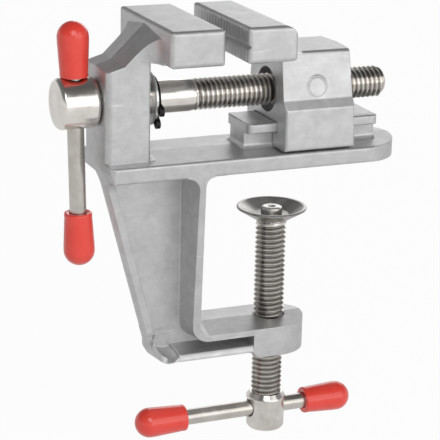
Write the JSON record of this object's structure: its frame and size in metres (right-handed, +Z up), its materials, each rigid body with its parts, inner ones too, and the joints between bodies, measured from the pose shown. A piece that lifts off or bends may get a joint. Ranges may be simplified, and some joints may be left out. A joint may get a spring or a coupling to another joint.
{
  "type": "mini bench vise",
  "caption": "Small cast clamp-on bench vise: fixed and sliding jaws on a T-rail, screw with sliding handle, C-clamp base with its own screw, pad and handle.",
  "frame": {"origin": "on the milled face that rests on the bench, at the clamp screw's axis", "axes": "+X along the main screw from its handle to its free end, +Z up from the bench, Y across the jaws"},
  "size_m": [0.0872, 0.035, 0.1084],
  "materials": {
    "cast_aluminium_body": "satin as-cast and tumbled",
    "cast_aluminium_jaw": "satin as-cast and tumbled",
    "screw_steel": "turned, lightly plated",
    "bright_washer": "bright plated",
    "black_ring": "black oxide spring steel",
    "bar_steel": "drawn bright bar",
    "pad_steel": "pressed and tumbled",
    "rivet_steel": "peened",
    "red_cap": "semi-gloss moulded"
  },
  "bodies": {
    "vise_frame": {"vise_body": "cast_aluminium_body"},
    "jaw": {"moving_jaw": "cast_aluminium_jaw"},
    "screw": {"main_screw": "screw_steel", "thrust_washer": "bright_washer", "retaining_ring": "black_ring"},
    "main_handle": {"main_handle_bar": "bar_steel", "main_handle_cap_upper": "red_cap", "main_handle_cap_lower": "red_cap"},
    "swivel_pad": {"clamp_pad": "pad_steel"},
    "lower_screw": {"clamp_screw": "screw_steel", "pad_rivet": "rivet_steel"},
    "lower_handle": {"clamp_handle_bar": "bar_steel", "clamp_handle_cap_left": "red_cap", "clamp_handle_cap_right": "red_cap"}
  },
  "joints": [
    {"name": "main_screw_turn", "type": "hinge", "parent": "vise_frame", "child": "screw", "pos_m": [-0.0462, 0, 0.0175], "axis": [1, 0, 0], "range_deg": [-5760, 1595]},
    {"name": "jaw_slide", "type": "slide", "parent": "vise_frame", "child": "jaw", "axis": [1, 0, 0], "range_m": [-0.00555, 0.02005]},
    {"name": "main_handle_slide", "type": "slide", "parent": "screw", "child": "main_handle", "axis": [-0.0275, 0, 0.9996], "range_m": [0, 0.0203]},
    {"name": "clamp_pad_slide", "type": "slide", "parent": "vise_frame", "child": "swivel_pad", "axis": [0, 0, 1], "range_m": [-0.0251, 0.01236]},
    {"name": "clamp_screw_turn", "type": "hinge", "parent": "swivel_pad", "child": "lower_screw", "pos_m": [0, 0, 0], "axis": [0, 0, 1], "range_deg": [-7200, 3540]},
    {"name": "clamp_handle_slide", "type": "slide", "parent": "lower_screw", "child": "lower_handle", "axis": [1, 0, 0], "range_m": [-0.0053, 0.0173]}
  ],
  "couplings": [
    {"joint": "jaw_slide", "follows": "main_screw_turn", "m_per_rad": -0.00019894},
    {"joint": "clamp_pad_slide", "follows": "clamp_screw_turn", "m_per_rad": 0.00019894}
  ]
}
